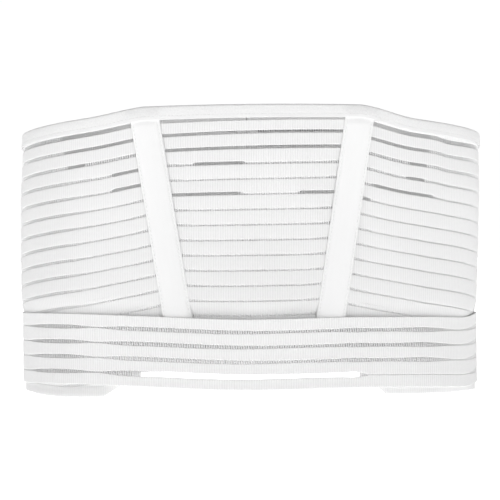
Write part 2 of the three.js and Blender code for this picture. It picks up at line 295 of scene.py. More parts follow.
# Waves of the wall: depth, length of the ripples and of the swell, how far each drifts along the loop to
# a millimetre of height, the ripples' share, how high above the floor the waves are full, and how far
# below the top edge they begin and are full
WAVE_DEPTH = 0.7
RIPPLE_LENGTH = 58.0
SWELL_LENGTH = 2.7 * RIPPLE_LENGTH
RIPPLE_DRIFT = 0.35
SWELL_DRIFT = -0.2
RIPPLE_SHARE = 0.6
WAVE_FOOT = 40.0
WAVE_TOP = (HEM_HEIGHT, 4 * HEM_HEIGHT)

# Ribs of the elastic, where a weft yarn crosses the tapes: their pitch and depths, the stations of a tape
# to one rib, and the share of a step that stays clear at a tape's ends
RIB_PITCH = 1.8
BACK_RIB = 0.05
BAND_RIB = 0.12
STATIONS_PER_RIB = {"back": 4, "wing": 0.5, "band": 3}
END_CLEAR = 0.25

# Weft yarns: half width in the open slots and where they fill the slots of the back, and the rows over
# which they come to fill them. From a wing's named place on, and within that length, they fill slots that
# many rows higher.
PANEL_WEFT = 0.13
BACK_FULL_WEFT = 0.73
BACK_FILLED_ROWS = (1.8, 3.5)
WING_FILLED_ROWS = (0.6, 2.6)
FLANK_ROWS = 1.6
FILLED_WITHIN = 8.0
# The band's yarns, from its lowest slot to its highest, and how much thinner they are at the left flank
BAND_WEFTS = (0.82, 0.88, 0.78, 0.78)
LEFT_THINNER = 0.16
LEFT_ARC = (-130.0, -95.0)
# How far a yarn's ends lean, its depth as a share of its width, and how far it runs into the tapes
WEFT_LEAN = 0.04
WEFT_DEPTH = 0.6
WEFT_TUCK = 0.8
WEFT_SEED = 11

# Sewing thread: how far a stitch lifts in its middle and sinks at its ends, its thickness at the ends as a
# share, its rings and sides, and how far to each side its heading is taken
STITCH_PITCH = 3.0
STITCH_LENGTH = 2.3
STITCH_RADIUS = 0.2
STITCH_LIFT = 0.12
STITCH_SINK = 0.5 * STITCH_RADIUS
STITCH_END = 0.45
STITCH_RINGS = 5
STITCH_SIDES = 6
STITCH_AHEAD = 0.2

# Plan worked out from the driving sizes
HALF_WIDTH = LOOP_WIDTH / 2
HALF_DEPTH = LOOP_DEPTH / 2
FLANK_CENTRE = HALF_WIDTH - FLANK_RADIUS
BACK_RADIUS = (HALF_WIDTH**2 + HALF_DEPTH**2 - LOOP_WIDTH * FLANK_RADIUS) / (LOOP_DEPTH - 2 * FLANK_RADIUS)
BACK_CENTRE = BACK_RADIUS - HALF_DEPTH
TURN_AT_FLANK = math.atan2(FLANK_CENTRE, BACK_CENTRE)
BACK_ARC = BACK_RADIUS * TURN_AT_FLANK
FLANK_ARC = FLANK_RADIUS * (math.pi - 2 * TURN_AT_FLANK)
HALF_LOOP = 2 * BACK_ARC + FLANK_ARC
FRONT_FOOT = BACK_ARC + FLANK_ARC
FLANK_FULL = BACK_ARC + FLANK_EASE * FLANK_ARC
PATCH_START = HALF_LOOP - PATCH_HALF_WIDTH
FACE = WALL / 2
PATCH_FACE = FACE + SEWN_GAP + PATCH_WALL
WING_END = HALF_LOOP - FRONT_GAP / 2

# Section of a tape, in shares of its half thickness and half height: flat faces and rounded edges
TAPE_SECTION = np.array(
    [(1.0, 0.8), (1.0, 0.92), (0.75, 0.98), (0.0, 1.0), (-0.8, 0.95), (-1.0, 0.8)]
    + [(-1.0, -0.8), (-0.8, -0.95), (0.0, -1.0), (0.75, -0.98), (1.0, -0.92), (1.0, -0.8)]
)
TAPE_OUT = TAPE_SECTION[:, 0]
TAPE_UP = TAPE_SECTION[:, 1]
# A sagged tape bends from that share of its lower half on
BEND_FROM = 0.3
TAPE_BEND = np.clip((-TAPE_UP - BEND_FROM) / (1 - BEND_FROM), 0, 1) ** 2
BAND_HEIGHT = BAND_ROWS * (BAND_TAPE + BAND_SLOT) - BAND_SLOT

random = np.random.default_rng(WEFT_SEED)


# Places on the belt


def smoothstep(x, low, high):
    """0 below low, 1 above high, and the smooth cubic between them."""
    share = np.clip((np.asarray(x, float) - low) / (high - low), 0, 1)
    return share * share * (3 - 2 * share)


def drawn_in(arc, z):
    """How far the wall is drawn in: full behind the band, easing to a slight bulge above its top edge,
    and sooner round the flanks; with the pinch of the band's edge, less the flanks' and the back's own
    standing out."""
    above = z - band_edge(arc) - BAND_HEIGHT
    length = BULGE_LENGTH["slack"] + (BULGE_LENGTH["tight"] - BULGE_LENGTH["slack"]) * on_flank(arc)
    eased = DRAW_IN - (DRAW_IN + BULGE) * smoothstep(above / length, 0, 1)
    return eased + pinch(arc, z) - flank_out(arc, z) - fullness(arc, z)


def on_flank(arc):
    """1 round the middle of a flank, fading to 0 where the back and the front begin."""
    away = np.abs(arc)
    ends = smoothstep(away, HALF_LOOP - FLANK_FULL, FRONT_FOOT)
    return smoothstep(away, BACK_ARC, FLANK_FULL) * (1 - ends)


def flank_out(arc, z):
    """How far a flank stands out, by straight steps between the heights of the table."""
    left = np.interp(z, FLANK_HEIGHTS, FLANK_OUT["left"])
    right = np.interp(z, FLANK_HEIGHTS, FLANK_OUT["right"])
    return on_flank(arc) * np.where(np.asarray(arc) < 0, left, right)


def fullness(arc, z):
    """How far the back stands out above the band: a smooth hump up the wall and along it."""
    up = smoothstep(z, *FULL_FROM) * (1 - smoothstep(z, *FULL_TO))
    return FULLNESS * up * (1 - smoothstep(np.abs(arc), 0, FULL_ARC))


def pinch(arc, z):
    """How far the band's top edge pinches the wall in: a bell curve up the wall, fading at the flanks."""
    above = z - band_edge(arc) - BAND_HEIGHT
    return PINCH * np.exp(-((above / PINCH_LENGTH) ** 2)) * (1 - on_flank(arc))


def band_stand_off(arc):
    """How far the band's inner face stands off the wall: close at the flanks, out over the closure
    in front, and bridging the hollow of the back on a raised cosine."""
    away = np.abs(arc)
    bridge = np.where(away < BAND_BRIDGE, 0.5 + 0.5 * np.cos(math.pi * away / BAND_BRIDGE), 0)
    flank = FACE + BAND_CLEARANCE["flank"]
    front = PATCH_FACE + BAND_CLEARANCE["flank"]
    over_patch = smoothstep(away, BACK_ARC + FLANK_ARC / 2, PATCH_START)
    hollow = BAND_CLEARANCE["back"] - BAND_CLEARANCE["flank"]
    return flank + (front - flank) * over_patch + bridge * hollow


LOOP_FORWARD = float(band_stand_off(0.0) - band_stand_off(HALF_LOOP)) / 2


def on_belt(arc, z, out):
    """Points of the belt. The arc length picks one of the oval's arcs, with its centre, radius and
    heading, and the point lies at that heading, the radius plus out from that centre."""
    arc, z, out = np.broadcast_arrays(arc, z, out)
    wrapped = (arc + HALF_LOOP) % (2 * HALF_LOOP) - HALF_LOOP
    away = np.abs(wrapped)
    behind = away <= BACK_ARC
    flank = ~behind & (away <= BACK_ARC + FLANK_ARC)
    turn = np.select(
        [behind, flank],
        [away / BACK_RADIUS, TURN_AT_FLANK + (away - BACK_ARC) / FLANK_RADIUS],
        math.pi - (HALF_LOOP - away) / BACK_RADIUS,
    )
    centre_x = np.where(flank, FLANK_CENTRE, 0.0)
    centre_y = np.select([behind, flank], [BACK_CENTRE, 0.0], -BACK_CENTRE)
    reach = np.where(flank, FLANK_RADIUS, BACK_RADIUS) + out - drawn_in(wrapped, z)
    x = np.where(wrapped < 0, -1, 1) * (centre_x + reach * np.sin(turn))
    y = centre_y - reach * np.cos(turn) + LOOP_FORWARD
    return np.stack([x, y, z], -1)


def on_stay(arc, z, out):
    """Points of a stay, which is stiff: it follows the wall's draw only in a long, gentle curve."""
    gentle = DRAW_IN * (1 - smoothstep(z, *STAY_BEND))
    return on_belt(arc, z, out + drawn_in(arc, z) - gentle)


def on_band(arc, z, out):
    """Points of the band, which isn't pinched and doesn't follow the back's hump."""
    return on_belt(arc, z, out + pinch(arc, z) - fullness(arc, z))


def seam(below):
    """Arc length of the seam under a stay, at a distance below the top edge."""
    return STAY_TOP_ARC - STAY_LEAN * np.asarray(below, float)


def back_row(arc, below):
    """Height of a row of the back panel: nearly level, with a slight tilt and a bow that turns from upward
    to sagging down the panel, and gathered a little in height."""
    tilt = np.interp(below, BACK_BELOWS, BACK_TILTS)
    bow = np.interp(below, BACK_BELOWS, BACK_BOWS)
    return TOP_AT_STAY - (1 - GATHER) * below + tilt * arc + bow * (1 - (arc / STAY_TOP_ARC) ** 2)


def from_low(away):
    """Length from where the rows are lowest, with a round turn there: a hyperbola less its half axis."""
    return np.hypot(np.asarray(away, float) - LOW_ARC, LOW_TURN) - LOW_TURN


def wing_row(away, below, wing):
    """Height of a row of a wing: it falls from the seam to the flank, steeply at first, fans out a little,
    and dips at the flank. It rises again to the closure as it fell, and is level behind it."""
    away = np.asarray(away, float)
    ahead = (np.minimum(away, PATCH_START) - LOW_ARC) / (PATCH_START - LOW_ARC)
    mirrored = np.where(away < LOW_ARC, away, LOW_ARC - ahead * (LOW_ARC - PATCH_HALF_WIDTH))
    along = mirrored - seam(below)
    fan = 1 + WING_FAN * np.clip(along / FAN_LENGTH, 0, 1)
    step = wing["drop"] * smoothstep(along, 0, DROP_LENGTH) * np.maximum(0, 1 - below / DROP_DEPTH)
    dip = smoothstep(away, DIP_ARC - DIP_FALL, DIP_ARC)
    dip = dip - smoothstep(away, DIP_ARC, DIP_ARC + DIP_RISE)
    under_hem = smoothstep(below, 0, FIRST_SLOT_WING) * np.maximum(0, 1 - below / DIP_DEPTH)
    fall = wing["slope"] * (from_low(seam(below)) - from_low(mirrored))
    return TOP_AT_STAY - step - fall - below * fan - wing["dip"] * dip * under_hem


def top_edge(arc):
    """Height of the top edge at any place on the loop."""
    arc = np.asarray(arc, float)
    away = np.abs(arc)
    wings = np.where(arc < 0, wing_row(away, 0.0, WINGS["left"]), wing_row(away, 0.0, WINGS["right"]))
    return np.where(away < STAY_TOP_ARC, back_row(arc, 0.0), wings)


def lower_edge(away, wing):
    """Height of a wing's lower edge: the arch behind with its slanting end, a slight lift at the flank,
    then the slanting end of the arch in front."""
    behind = ARCH_HEIGHT * np.clip((wing["foot"] - away) / (wing["foot"] - wing["arch_end"]), 0, 1)
    ahead = FRONT_ARCH_HEIGHT * np.clip((away - FRONT_FOOT) / (PATCH_START - FRONT_FOOT), 0, 1)
    start = wing["foot"] + FOOT_LENGTH
    share = np.clip((away - start) / (FRONT_FOOT - FOOT_LENGTH - start), 0, 1)
    return behind + ahead + wing["lift"] * np.sin(math.pi * share) ** 2


def wave(arc, z):
    """How far the elastic hangs inwards: shallow waves along the loop, a sum of two raised cosines that
    drift with height and die away towards the binding, the floor and the flanks."""
    ripple = 0.5 + 0.5 * np.cos(2 * math.pi * (arc + RIPPLE_DRIFT * z) / RIPPLE_LENGTH)
    swell = 0.5 + 0.5 * np.cos(2 * math.pi * (arc + SWELL_DRIFT * z) / SWELL_LENGTH)
    free = smoothstep(top_edge(arc) - z, *WAVE_TOP) * smoothstep(z, 0, WAVE_FOOT)
    slack = 1 - pulled(np.abs(arc), WINGS["left"])
    return -WAVE_DEPTH * (RIPPLE_SHARE * ripple + (1 - RIPPLE_SHARE) * swell) * free * slack


def pulled(away, wing):
    """1 where the wall is pulled tight round the flank, 0 at the back and the front."""
    tight = smoothstep(away, *wing["pull"])
    return tight * (1 - smoothstep(away, *PULL_FADES))


def sag(sagging, to_seam, tight, gape):
    """How far a tape's lower edge sags over the slot below it: little in the top rows, and less where the
    wall is tight, where the slot gapes, and beside a stay."""
    beside_stay = STAY_OPENING * (1 - smoothstep(to_seam, *STAY_OPENING_REACH))
    open_share = np.maximum(np.maximum(FLANK_OPENING * tight, gape), beside_stay)
    slack = (1 - SAGGED_SLOT) * sagging * (1 - open_share)
    return SLOT_HEIGHT * np.maximum(1 - OPEN_SLOT, slack)


def gaping(row, away, gapes):
    """1 where a slot gapes, and 0 elsewhere."""
    share = np.zeros_like(away)
    for gaping_row, at, half_length in gapes:
        if row == gaping_row:
            closed = smoothstep(np.abs(away - at), GAPE_FULL * half_length, half_length)
            share = np.maximum(share, 1 - closed)
    return share


def band_edge(arc):
    """Height of the band's lower edge, joined by smooth steps from back to flank to front, a little higher
    at the stays, and riding up at the right flank."""
    away = np.abs(arc) / (HALF_LOOP / 2)
    flank = np.where(np.asarray(arc) < 0, BAND_EDGE["left"], BAND_EDGE["right"])
    behind = BAND_EDGE["back"] + (flank - BAND_EDGE["back"]) * smoothstep(away, 0, 1)
    raised = smoothstep(np.abs(arc), 0, STAY_TOP_ARC) - smoothstep(np.abs(arc), *BAND_SAG_ENDS)
    behind = behind + BAND_SAG * raised
    riding = flank + RIDE_UP * (np.asarray(arc) > 0)
    ahead = riding + (BAND_EDGE["front"] - riding) * smoothstep(away, 1, 2)
    return np.where(away < 1, behind + RIDE_UP * smoothstep(arc, *RIDE_UP_ARCS), ahead)


def band_slot(arc, lowest):
    """Height of the band's slots along the loop: the plain slot, opened or closed by bell curves at the
    named pulls. The lowest slot also opens under the arch, and closes past its right end."""
    share = np.ones_like(arc)
    for at, half_length, amount in BAND_PULLS:
        share = share + amount * np.exp(-(((arc - at) / half_length) ** 2))
    if lowest:
        share = share + OPEN_UNDER_ARCH * (1 - smoothstep(np.abs(arc), STAY_TOP_ARC, BAND_BRIDGE))
        share = share * (1 - smoothstep(arc, *LOWEST_CLOSES) * (1 - smoothstep(arc, *LOWEST_OPENS)))
    return BAND_SLOT * np.maximum(share, LEAST_SLOT)


def row_lines(first_slot, slots):
    """Distances below the top edge of the upper and lower lines of each tape, from the top down. The slot
    under the binding is a little taller."""
    middles = first_slot + ROW_PITCH * np.arange(slots + 1)
    upper = np.concatenate([[HEM_WALL + SEWN_GAP], middles[:-1] + SLOT_HEIGHT / 2])
    upper[1] += FIRST_SLOT_MORE
    return upper, middles - SLOT_HEIGHT / 2


# Meshes


def tube_faces(stack, along, around, looped):
    """Corner numbers of the quads of a stack of tubes, each a ring of points carried along a path, and
    of the flat ends of tubes that aren't looped. Points are numbered tube by tube, ring by ring."""
    steps = along if looped else along - 1
    tube, ring, spoke = np.meshgrid(np.arange(stack), np.arange(steps), np.arange(around), indexing="ij")

    def corner(r, s):
        return (tube * along + r % along) * around + s % around

    near = [corner(ring, spoke), corner(ring + 1, spoke)]
    far = [corner(ring + 1, spoke + 1), corner(ring, spoke + 1)]
    quads = np.stack(near + far, -1).reshape(-1, 4)
    first = (np.arange(stack) * along * around)[:, None] + np.arange(around)
    ends = np.concatenate([first, first[:, ::-1] + (along - 1) * around])
    return quads, ends[:0] if looped else ends


def volume(points, quads):
    """Six times the signed volume inside the quads, positive where they face outwards."""
    a, b, c, d = (points[quads[:, k]] for k in range(4))
    return float((a * (np.cross(b, c) + np.cross(c, d))).sum())


def tubes(points, places, looped=False):
    """Tubes as plain arrays: points, cloth places for the UV map, and faces turned outwards. points is
    (tubes, rings, points round, 3), and places has the same shape with 2 numbers each."""
    stack, along, around, _ = points.shape
    quads, ends = tube_faces(stack, along, around, looped)
    flat = points.reshape(-1, 3)
    centred = flat - flat.mean(0)
    if volume(centred, quads) < 0:
        quads, ends = quads[:, ::-1], ends[:, ::-1]
    return flat, places.reshape(-1, 2), quads, ends


def one(points, places, looped=False):
    """A single tube."""
    return tubes(points[None], places[None], looped)


def mesh_piece(name, parts, finish):
    """A named mesh of the given tubes, joined, in metres, riding on the belt and finished with one
    material. Its UV map holds each point's place on the cloth in millimetres."""
    starts = np.cumsum([0] + [len(part[0]) for part in parts])
    points = np.concatenate([part[0] for part in parts]) * METRE
    places = np.concatenate([part[1] for part in parts])
    loops = []
    sizes = []
    for start, (_, _, quads, ends) in zip(starts, parts):
        for faces in (quads, ends):
            loops.append((faces + start).ravel())
            sizes.append(np.full(len(faces), faces.shape[1]))
    loops = np.concatenate(loops).astype(np.int32)
    sizes = np.concatenate(sizes)
    mesh = bpy.data.meshes.new(name)
    mesh.vertices.add(len(points))
    mesh.vertices.foreach_set("co", points.astype(np.float32).ravel())
    mesh.loops.add(len(loops))
    mesh.loops.foreach_set("vertex_index", loops)
    mesh.polygons.add(len(sizes))
    mesh.polygons.foreach_set("loop_start", (np.cumsum(sizes) - sizes).astype(np.int32))
    mesh.polygons.foreach_set("use_smooth", np.ones(len(sizes), bool))
    cloth = mesh.uv_layers.new(name="cloth")
    cloth.data.foreach_set("uv", places[loops].astype(np.float32).ravel())
    mesh.update(calc_edges=True)
    mesh.materials.append(finish)
    piece = bpy.data.objects.new(name, mesh)
    bpy.context.scene.collection.objects.link(piece)
    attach(piece, "root")
    return piece


def rib_stations(start, end, per_rib):
    """Arc lengths from start to end, that many to each rib, in step with the ribs of every other row."""
    step = RIB_PITCH / per_rib
    first = math.ceil(start / step + END_CLEAR)
    last = math.floor(end / step - END_CLEAR)
    return np.concatenate([[start], np.arange(first, last + 1) * step, [end]])


def tape(arcs, low, high, out, half_wall, rib_depth, sagged):
    """A flat tape between two heights along the loop: the rounded section, its thickness swelling at each
    rib on a cosine of the arc length, and its lower edge curling inwards with the square of the depth
    where it has sagged."""
    rib = rib_depth * np.cos(2 * math.pi * arcs / RIB_PITCH)
    middle = (low + high) / 2
    half = (high - low) / 2
    z = middle[:, None] + half[:, None] * TAPE_UP
    curl = SAG_CURL * (sagged / SLOT_HEIGHT)[:, None] * TAPE_BEND
    depth = np.asarray(out)[..., None] + (half_wall + rib)[:, None] * TAPE_OUT - curl
    points = on_belt(arcs[:, None], z, depth)
    places = np.stack([np.broadcast_to(arcs[:, None], z.shape), z], -1)
    return one(points, places)


def side_border(belows, centre, height, half_width, half_wall):
    """A solid edge beside a seam: the tape's rounded section laid across the edge and carried down it."""
    arcs = centre[:, None] + half_width * TAPE_UP
    z = height(arcs, belows[:, None])
    depth = wave(arcs, z) + half_wall * TAPE_OUT
    return one(on_belt(arcs, z, depth), np.stack([arcs, z], -1))


def weft_radius(row, filled_rows, full, gape):
    """Half the width of the yarns across a slot: thin in the open rows and gapes, full further down."""
    return PANEL_WEFT + (full - PANEL_WEFT) * smoothstep(row, *filled_rows) * (1 - gape)


def wefts(arcs, low, high, out, radius, place=on_belt):
    """Bare weft yarns across a slot: flat four-sided prisms from low to high, each leaning a little."""
    angle = np.arange(4) * math.pi / 2
    lean = random.normal(0, WEFT_LEAN, (len(arcs), 2, 1))
    radius = np.broadcast_to(radius, arcs.shape)[:, None, None]
    arc = arcs[:, None, None] + lean + radius * np.cos(angle)
    z = np.stack([low, high], 1)[:, :, None]
    depth = np.asarray(out)[..., None, None] + WEFT_DEPTH * radius * np.sin(angle)
    arc, z, depth = np.broadcast_arrays(arc, z, depth)
    return tubes(place(arc, z, depth), np.stack([arc, z], -1))


def stitches(line, outward):
    """A row of sewn stitches along a line of points: each is a short thread that rises out of the cloth
    on a parabola and thins at both ends. outward holds a point straight out from each point of the line."""
    away = np.concatenate([[0], np.cumsum(np.linalg.norm(np.diff(line, axis=0), axis=1))])
    count = int((away[-1] - STITCH_LENGTH) / STITCH_PITCH)
    middle = (away[-1] - (count - 1) * STITCH_PITCH) / 2 + STITCH_PITCH * np.arange(count)
    share = np.linspace(-1, 1, STITCH_RINGS)
    along = middle[:, None] + share * STITCH_LENGTH / 2

    def sample(values, where):
        return np.stack([np.interp(where, away, values[:, k]) for k in range(3)], -1)

    def unit(vectors):
        return vectors / np.linalg.norm(vectors, axis=-1, keepdims=True)

    centre = sample(line, along)
    normal = unit(sample(outward, along) - centre)
    ahead = unit(sample(line, along + STITCH_AHEAD) - sample(line, along - STITCH_AHEAD))
    across = np.cross(normal, ahead)
    rise = 1 - share**2
    spine = centre + normal * (STITCH_LIFT * rise - STITCH_SINK * (1 - rise))[None, :, None]
    angle = np.arange(STITCH_SIDES) * 2 * math.pi / STITCH_SIDES
    round_it = across[:, :, None] * np.cos(angle)[:, None] + normal[:, :, None] * np.sin(angle)[:, None]
    thin = STITCH_RADIUS * (STITCH_END + (1 - STITCH_END) * rise)
    points = spine[:, :, None] + round_it * thin[None, :, None, None]
    places = np.stack(np.broadcast_arrays(along[:, :, None], angle), -1)
    return tubes(points, places)


def stitch_line(arc, z, out, place=on_belt):
    """A row of stitches along a line given by its places on the belt."""
    return stitches(place(arc, z, out), place(arc, z, np.asarray(out) + np.sign(out)))


# Finishes

# Radians of the wave texture to one unit
WAVE_TURN = 20.0
# Millimetres between warp lines of the elastic, and between yarns of the binding
WARP_PITCH = 0.9
BINDING_PITCH = 0.8
# The binding's rolled edge is painted paler between these distances below the top edge: a painted highlight
PAINTED_EDGE_HIGHLIGHT = (HEM_STITCH, HEM_STITCH + 0.8)
# All cloths: how soft their sheen is, and how weakly they mirror
SHEEN_ROUGHNESS = 0.5
CLOTH_MIRRORING = 0.25


def node(tree, kind, inputs=None, **settings):
    """A shader node with its settings, and its inputs either set or linked from another node's output."""
    made = tree.nodes.new(kind)
    for name, value in settings.items():
        setattr(made, name, value)
    for name, value in (inputs or {}).items():
        if isinstance(value, bpy.types.NodeSocket):
            tree.links.new(value, made.inputs[name])
        else:
            made.inputs[name].default_value = value
    return made


def grey(value):
    """A neutral colour."""
    return (value, value, value, 1.0)


def cloth_places(tree, scale):
    """The UV map's millimetres, scaled differently along and across the cloth."""
    places = node(tree, "ShaderNodeUVMap", uv_map="cloth").outputs["UV"]
    return node(tree, "ShaderNodeMapping", {"Vector": places, "Scale": (*scale, 1.0)}).outputs[0]


def noise(tree, scale, detail=3.0):
    """Soft noise on the cloth, with that many features to a millimetre along and across."""
    inputs = {"Vector": cloth_places(tree, scale), "Scale": 1.0, "Detail": detail}
    return node(tree, "ShaderNodeTexNoise", inputs).outputs["Fac"]


def lines(tree, period, along, waver):
    """Even yarns of that period, side by side along the cloth (X) or up it (Y), wavering a little."""
    inputs = {
        "Vector": cloth_places(tree, (1.0, 1.0)),
        "Scale": 2 * math.pi / (WAVE_TURN * period),
        "Distortion": waver,
        "Detail": 1.0,
        "Phase Offset": math.pi,
    }
    made = node(
        tree,
        "ShaderNodeTexWave",
        inputs,
        wave_type="BANDS",
        bands_direction="X" if along else "Y",
        wave_profile="SIN",
    )
    return made.outputs["Fac"]


def blend(tree, share, first, second):
    """A mix of two colours or outputs by a share."""
    made = node(tree, "ShaderNodeMix", {"Factor": share}, data_type="RGBA")
    for socket, value in (("A", first), ("B", second)):
        target = next(s for s in made.inputs if s.name == socket and s.type == "RGBA")
        if isinstance(value, bpy.types.NodeSocket):
            tree.links.new(value, target)
        else:
            target.default_value = value
    return next(s for s in made.outputs if s.type == "RGBA")


def cloth_finish(name, light, dark, roughness, sheen):
    """A material with a blank cloth shader, returned with its node tree, its shader and its two shades."""
    material = bpy.data.materials.new(name)
    material.use_nodes = True
    tree = material.node_tree
    shader = tree.nodes["Principled BSDF"]
    shader.inputs["Roughness"].default_value = roughness
    shader.inputs["Sheen Weight"].default_value = sheen
    shader.inputs["Sheen Roughness"].default_value = SHEEN_ROUGHNESS
    shader.inputs["Specular IOR Level"].default_value = CLOTH_MIRRORING
    return material, tree, shader, (grey(light), grey(dark))


def raise_by(tree, shader, heights):
    """Bumps the shader by a chain of (output, millimetres) pairs."""
    normal = None
    for height, depth in heights:
        inputs = {"Height": height, "Distance": depth * METRE, "Strength": 1.0}
        if normal is not None:
            inputs["Normal"] = normal
        normal = node(tree, "ShaderNodeBump", inputs).outputs["Normal"]
    tree.links.new(normal, shader.inputs["Normal"])


def elastic_finish(name, light, dark, rib):
    """Knitted elastic: pale weft ribs, painted shade in their furrows, fine warp lines along it, faint
    mottling.
    """
    made = cloth_finish(name, light, dark, roughness=0.85, sheen=0.15)
    material, tree, shader, (pale, deep) = made
    weft = lines(tree, RIB_PITCH, along=True, waver=0.25)
    warp = lines(tree, WARP_PITCH, along=False, waver=0.6)
    mottling = noise(tree, (0.35, 0.35))
    # Painted shade: the colour darkens in the furrows between the weft ribs, where the bump is low
    furrow = blend(tree, weft, deep, pale)
    clouds = {"Value": mottling, "From Min": 0.4, "From Max": 0.75, "To Max": 0.5}
    colour = blend(tree, node(tree, "ShaderNodeMapRange", clouds).outputs[0], furrow, pale)
    tree.links.new(colour, shader.inputs["Base Color"])
    raise_by(tree, shader, [(weft, rib), (warp, 0.03), (noise(tree, (1.6, 1.6)), 0.04)])
    return material


def binding_finish(light, dark):
    """Woven binding: a fine plain weave of crossing yarns with a grainy face, and its rolled edge painted
    paler as a highlight.
    """
    made = cloth_finish("woven_binding", light, dark, roughness=0.75, sheen=0.2)
    material, tree, shader, (pale, deep) = made
    weft = lines(tree, BINDING_PITCH, along=True, waver=1.0)
    warp = lines(tree, BINDING_PITCH, along=False, waver=1.0)
    grain = noise(tree, (0.9, 0.9))
    fleck = {"Value": grain, "From Min": 0.35, "From Max": 0.65}
    speckled = blend(tree, node(tree, "ShaderNodeMapRange", fleck).outputs[0], deep, pale)
    down = node(tree, "ShaderNodeSeparateXYZ", {"Vector": cloth_places(tree, (1.0, 1.0))}).outputs["Y"]
    # Painted highlight: below its sewing the rolled edge takes the plain pale shade, without the darker
    # flecks
    edge = {"Value": down, "From Min": PAINTED_EDGE_HIGHLIGHT[0], "From Max": PAINTED_EDGE_HIGHLIGHT[1]}
    colour = blend(tree, node(tree, "ShaderNodeMapRange", edge).outputs[0], speckled, pale)
    tree.links.new(colour, shader.inputs["Base Color"])
    raise_by(tree, shader, [(weft, 0.06), (warp, 0.06), (grain, 0.12)])
    return material


def casing_finish(light, dark):
    """Brushed casing tape: smooth, with faint streaks down its length and a short soft nap."""
    made = cloth_finish("brushed_casing", light, dark, roughness=0.6, sheen=0.35)
    material, tree, shader, (pale, deep) = made
    streaks = noise(tree, (0.45, 0.03))
    nap = noise(tree, (3.0, 1.5))
    colour = blend(tree, streaks, deep, pale)
    tree.links.new(colour, shader.inputs["Base Color"])
    raise_by(tree, shader, [(streaks, 0.15), (nap, 0.05)])
    return material


def closure_finish(light, dark):
    """Loop pile of the closure: small round loops, thick and matt, with painted shade in the hollows
    between them.
    """
    made = cloth_finish("loop_pile", light, dark, roughness=0.95, sheen=0.3)
    material, tree, shader, (pale, deep) = made
    vector = cloth_places(tree, (1.0, 1.0))
    loops = node(tree, "ShaderNodeTexVoronoi", {"Vector": vector, "Scale": 1.1}).outputs["Distance"]
    # Painted shade: the colour darkens from the middle of each loop out to the hollows between loops, where
    # the bump is low
    colour = blend(tree, loops, pale, deep)
    tree.links.new(colour, shader.inputs["Base Color"])
    raise_by(tree, shader, [(loops, -0.25), (noise(tree, (2.0, 2.0)), 0.1)])
    return material


def thread_finish(name, light, dark, twist):
    """Spun thread: twist lines along its length, painted darker in their grooves as shade."""
    made = cloth_finish(name, light, dark, roughness=0.7, sheen=0.1)
    material, tree, shader, (pale, deep) = made
    turns = lines(tree, twist, along=True, waver=0.3)
    # Painted shade: the colour darkens in the grooves of the twist, where the bump is low
    colour = blend(tree, turns, deep, pale)
    tree.links.new(colour, shader.inputs["Base Color"])
    raise_by(tree, shader, [(turns, 0.04)])
    return material


ELASTIC = elastic_finish("ladder_elastic", light=0.87, dark=0.81, rib=0.04)
# Painted light: the band's copy of the elastic is lighter than the wall's, to make up for the weaker light
# low on the belt
BAND_ELASTIC = elastic_finish("band_elastic", light=0.95, dark=0.87, rib=0.06)
BINDING = binding_finish(light=0.9, dark=0.85)
CASING = casing_finish(light=0.93, dark=0.91)
CLOSURE = closure_finish(light=0.86, dark=0.76)
WEFT_YARN = thread_finish("weft_yarn", light=0.88, dark=0.8, twist=0.6)
SEWING_THREAD = thread_finish("sewing_thread", light=0.9, dark=0.78, twist=0.5)


# Pieces


def back_panel():
    """The panel between the stays: its tapes, its two solid edges along the seams, and its wefts."""
    upper, lower = row_lines(FIRST_SLOT_BACK, BACK_SLOTS)
    parts = []
    for row, (top, bottom) in enumerate(zip(upper, lower)):
        end = float(seam((top + bottom) / 2)) - SIDE_BORDER + LAP
        arcs = rib_stations(-end, end, STATIONS_PER_RIB["back"])
        gape = gaping(row, arcs, GAPES["back"])
        sagging = smoothstep(row, *SAG_ROWS["back"])
        sagged = sag(sagging, seam(bottom) - np.abs(arcs), 0.0, gape)
        high = back_row(arcs, top)
        low = back_row(arcs, bottom + sagged)
        parts.append(tape(arcs, low, high, wave(arcs, (low + high) / 2), FACE, BACK_RIB, sagged))
    belows = np.arange(upper[0], lower[-1], TUCK)
    # The solid edges run down beside the rows of tapes, from the first to the last. Of
    # the solid edges, the area counts only the stretches beside the slots
    for side in (-1, 1):
        centre = side * (seam(belows) - SEWN_GAP / 2 - SIDE_BORDER / 2)
        parts.append(side_border(belows, centre, back_row, SIDE_BORDER / 2, EDGE_FACE))
    panel = mesh_piece("back_panel_tapes", parts, ELASTIC)
    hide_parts("back_panel")

    yarns = []
    for row, (top, bottom) in enumerate(zip(lower[:-1], upper[1:])):
        end = float(seam(bottom)) - SIDE_BORDER
        reach = math.floor(end / RIB_PITCH)
        arcs = np.arange(-reach, reach + 1) * RIB_PITCH
        low = back_row(arcs, bottom + WEFT_TUCK)
        high = back_row(arcs, top - WEFT_TUCK)
        gape = gaping(row, arcs, GAPES["back"])
        radius = weft_radius(row, BACK_FILLED_ROWS, BACK_FULL_WEFT, gape)
        yarns.append(wefts(arcs, low, high, wave(arcs, (low + high) / 2), radius))
    threads = mesh_piece("back_panel_wefts", yarns, WEFT_YARN)


def kept_runs(top, wing):
    """Stretches, measured away from the back, where a row of a wing stands above its lower edge."""
    first = float(seam(top)) + SIDE_BORDER - LAP
    away = np.arange(first, HALF_LOOP - SIDE_BORDER + LAP, RUN_STEP)
    away = away[wing_row(away, top, wing) > lower_edge(away, wing) + TUCK]
    runs = np.split(away, np.flatnonzero(np.diff(away) > 2 * RUN_STEP) + 1)
    return [run for run in runs if len(run) >= LEAST_RUN]


